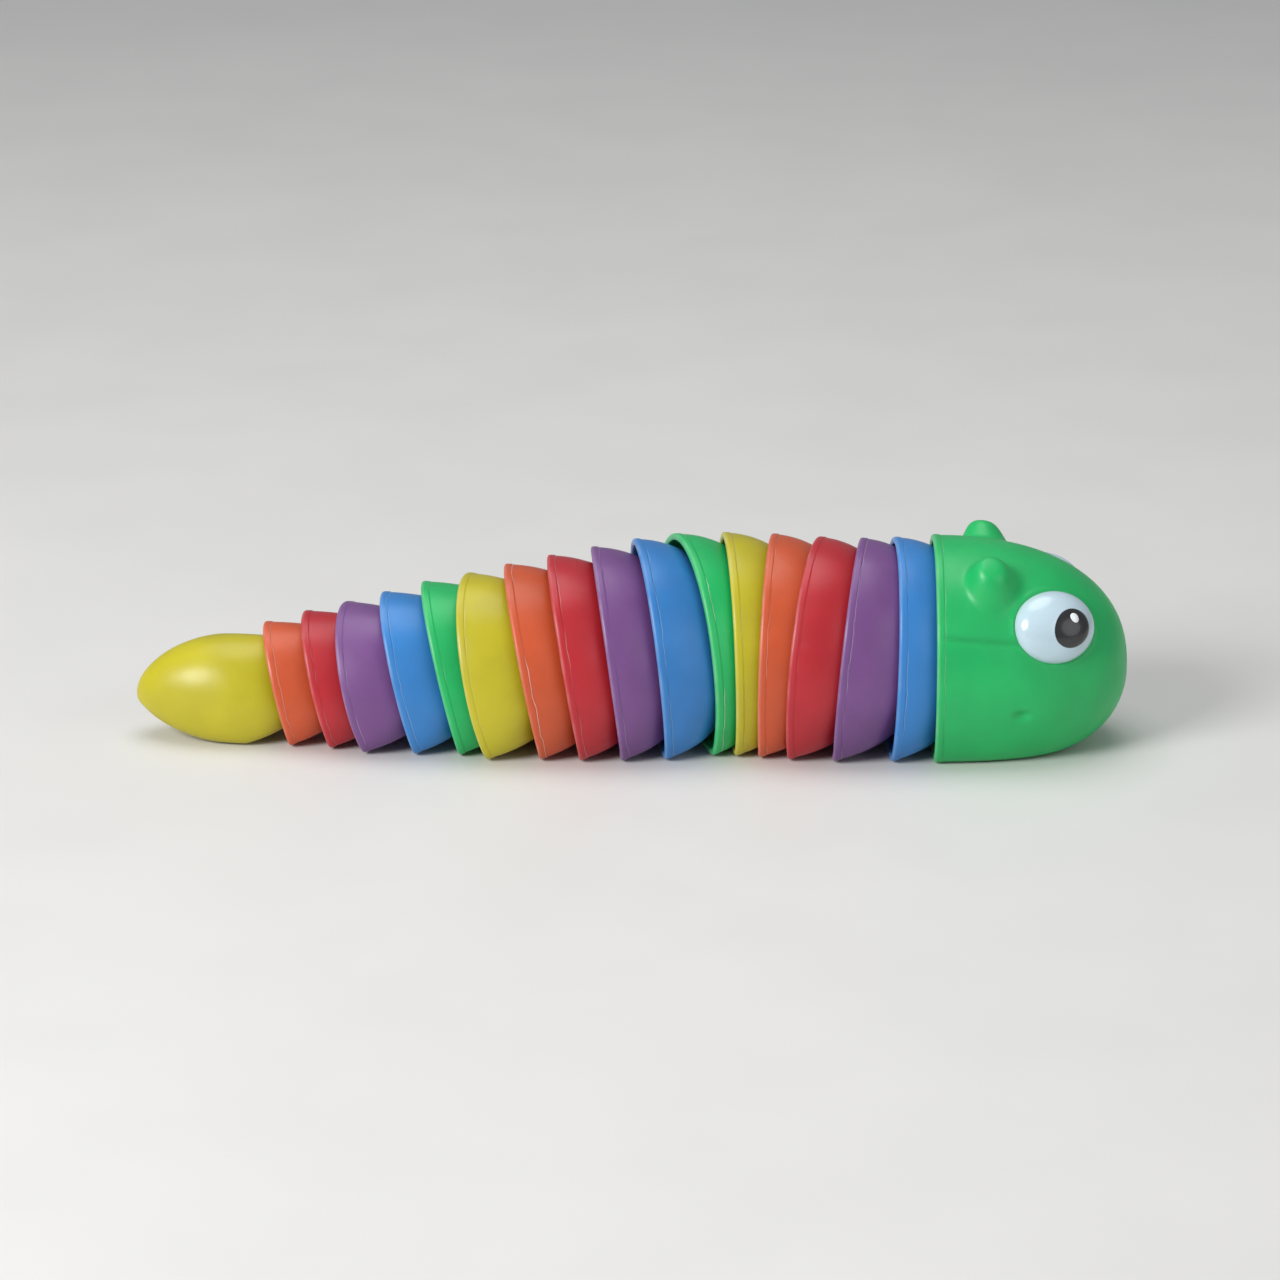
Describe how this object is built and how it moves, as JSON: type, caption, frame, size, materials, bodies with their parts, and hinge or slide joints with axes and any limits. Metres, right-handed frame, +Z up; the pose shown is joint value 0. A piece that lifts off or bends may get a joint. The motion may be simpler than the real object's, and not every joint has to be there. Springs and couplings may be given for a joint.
{
  "type": "jointed fidget slug",
  "caption": "Rainbow jointed fidget slug: nested moulded shells hinged in a chain behind a round-eyed head, tapering to a tail.",
  "frame": {"origin": "on the flat underside of the head, on its centre plane", "axes": "+X towards the head, +Y to the slug's left, +Z up; the belly rests on z = 0"},
  "size_m": [0.1925, 0.0453, 0.0403],
  "materials": {
    "plastic_green": "smooth satin moulding",
    "plastic_blue": "smooth satin moulding",
    "plastic_purple": "smooth satin moulding",
    "plastic_red": "smooth satin moulding",
    "plastic_orange": "smooth satin moulding",
    "plastic_yellow": "smooth satin moulding",
    "eye_white": "gloss",
    "pupil_grey": "gloss",
    "pin_natural": "plain, unpainted"
  },
  "bodies": {
    "head": {"head_shell_green": "plastic_green", "eye_white_left": "eye_white", "eye_white_right": "eye_white", "pupil_left": "pupil_grey", "pupil_right": "pupil_grey", "hinge_pin_01": "pin_natural"},
    "segment_02": {"shell_02_blue": "plastic_blue", "hinge_pin_02": "pin_natural"},
    "segment_03": {"shell_03_purple": "plastic_purple", "hinge_pin_03": "pin_natural"},
    "segment_04": {"shell_04_red": "plastic_red", "hinge_pin_04": "pin_natural"},
    "segment_05": {"shell_05_orange": "plastic_orange", "hinge_pin_05": "pin_natural"},
    "segment_06": {"shell_06_yellow": "plastic_yellow", "hinge_pin_06": "pin_natural"},
    "segment_07": {"shell_07_green": "plastic_green", "hinge_pin_07": "pin_natural"},
    "segment_08": {"shell_08_blue": "plastic_blue", "hinge_pin_08": "pin_natural"},
    "segment_09": {"shell_09_purple": "plastic_purple", "hinge_pin_09": "pin_natural"},
    "segment_10": {"shell_10_red": "plastic_red", "hinge_pin_10": "pin_natural"},
    "segment_11": {"shell_11_orange": "plastic_orange", "hinge_pin_11": "pin_natural"},
    "segment_12": {"shell_12_yellow": "plastic_yellow", "hinge_pin_12": "pin_natural"},
    "segment_13": {"shell_13_green": "plastic_green", "hinge_pin_13": "pin_natural"},
    "segment_14": {"shell_14_blue": "plastic_blue", "hinge_pin_14": "pin_natural"},
    "segment_15": {"shell_15_purple": "plastic_purple", "hinge_pin_15": "pin_natural"},
    "segment_16": {"shell_16_red": "plastic_red", "hinge_pin_16": "pin_natural"},
    "segment_17": {"shell_17_orange": "plastic_orange", "hinge_pin_17": "pin_natural"},
    "tail": {"tail_shell_yellow": "plastic_yellow"}
  },
  "joints": [
    {"name": "hinge_01_swing", "type": "hinge", "parent": "head", "child": "segment_02", "pos_m": [-0.018, 0, 0.015], "axis": [0, 0, 1], "range_deg": [-15, 11]},
    {"name": "hinge_02_swing", "type": "hinge", "parent": "segment_02", "child": "segment_03", "pos_m": [-0.026, -0.00028, 0.015], "axis": [0, 0, 1], "range_deg": [-4, 22]},
    {"name": "hinge_03_swing", "type": "hinge", "parent": "segment_03", "child": "segment_04", "pos_m": [-0.03393, 0.0007, 0.015], "axis": [0, 0, 1], "range_deg": [-8, 18]},
    {"name": "hinge_04_swing", "type": "hinge", "parent": "segment_04", "child": "segment_05", "pos_m": [-0.04176, 0.00236, 0.015], "axis": [0, 0, 1], "range_deg": [-19, 7]},
    {"name": "hinge_05_swing", "type": "hinge", "parent": "segment_05", "child": "segment_06", "pos_m": [-0.04972, 0.00319, 0.015], "axis": [0, 0, 1], "range_deg": [-23, 3]},
    {"name": "hinge_06_swing", "type": "hinge", "parent": "segment_06", "child": "segment_07", "pos_m": [-0.0577, 0.00264, 0.015], "axis": [0, 0, 1], "range_deg": [-24, 2]},
    {"name": "hinge_07_swing", "type": "hinge", "parent": "segment_07", "child": "segment_08", "pos_m": [-0.06542, 0.00057, 0.015], "axis": [0, 0, 1], "range_deg": [-5, 21]},
    {"name": "hinge_08_swing", "type": "hinge", "parent": "segment_08", "child": "segment_09", "pos_m": [-0.07336, -0.00041, 0.015], "axis": [0, 0, 1], "range_deg": [-9, 17]},
    {"name": "hinge_09_swing", "type": "hinge", "parent": "segment_09", "child": "segment_10", "pos_m": [-0.08135, -0.00083, 0.015], "axis": [0, 0, 1], "range_deg": [-11, 15]},
    {"name": "hinge_10_swing", "type": "hinge", "parent": "segment_10", "child": "segment_11", "pos_m": [-0.08935, -0.00097, 0.015], "axis": [0, 0, 1], "range_deg": [-13, 13]},
    {"name": "hinge_11_swing", "type": "hinge", "parent": "segment_11", "child": "segment_12", "pos_m": [-0.09735, -0.00111, 0.015], "axis": [0, 0, 1], "range_deg": [-2, 24]},
    {"name": "hinge_12_swing", "type": "hinge", "parent": "segment_12", "child": "segment_13", "pos_m": [-0.10523, 0.00028, 0.015], "axis": [0, 0, 1], "range_deg": [-24, 2]},
    {"name": "hinge_13_swing", "type": "hinge", "parent": "segment_13", "child": "segment_14", "pos_m": [-0.11323, 0.00014, 0.015], "axis": [0, 0, 1], "range_deg": [-10, 16]},
    {"name": "hinge_14_swing", "type": "hinge", "parent": "segment_14", "child": "segment_15", "pos_m": [-0.12122, 0.00042, 0.015], "axis": [0, 0, 1], "range_deg": [-4, 22]},
    {"name": "hinge_15_swing", "type": "hinge", "parent": "segment_15", "child": "segment_16", "pos_m": [-0.12908, 0.00195, 0.015], "axis": [0, 0, 1], "range_deg": [-21, 5]},
    {"name": "hinge_16_swing", "type": "hinge", "parent": "segment_16", "child": "segment_17", "pos_m": [-0.13707, 0.00237, 0.015], "axis": [0, 0, 1], "range_deg": [-16, 10]},
    {"name": "hinge_17_swing", "type": "hinge", "parent": "segment_17", "child": "tail", "pos_m": [-0.14507, 0.00237, 0.015], "axis": [0, 0, 1], "range_deg": [-13, 13]}
  ]
}
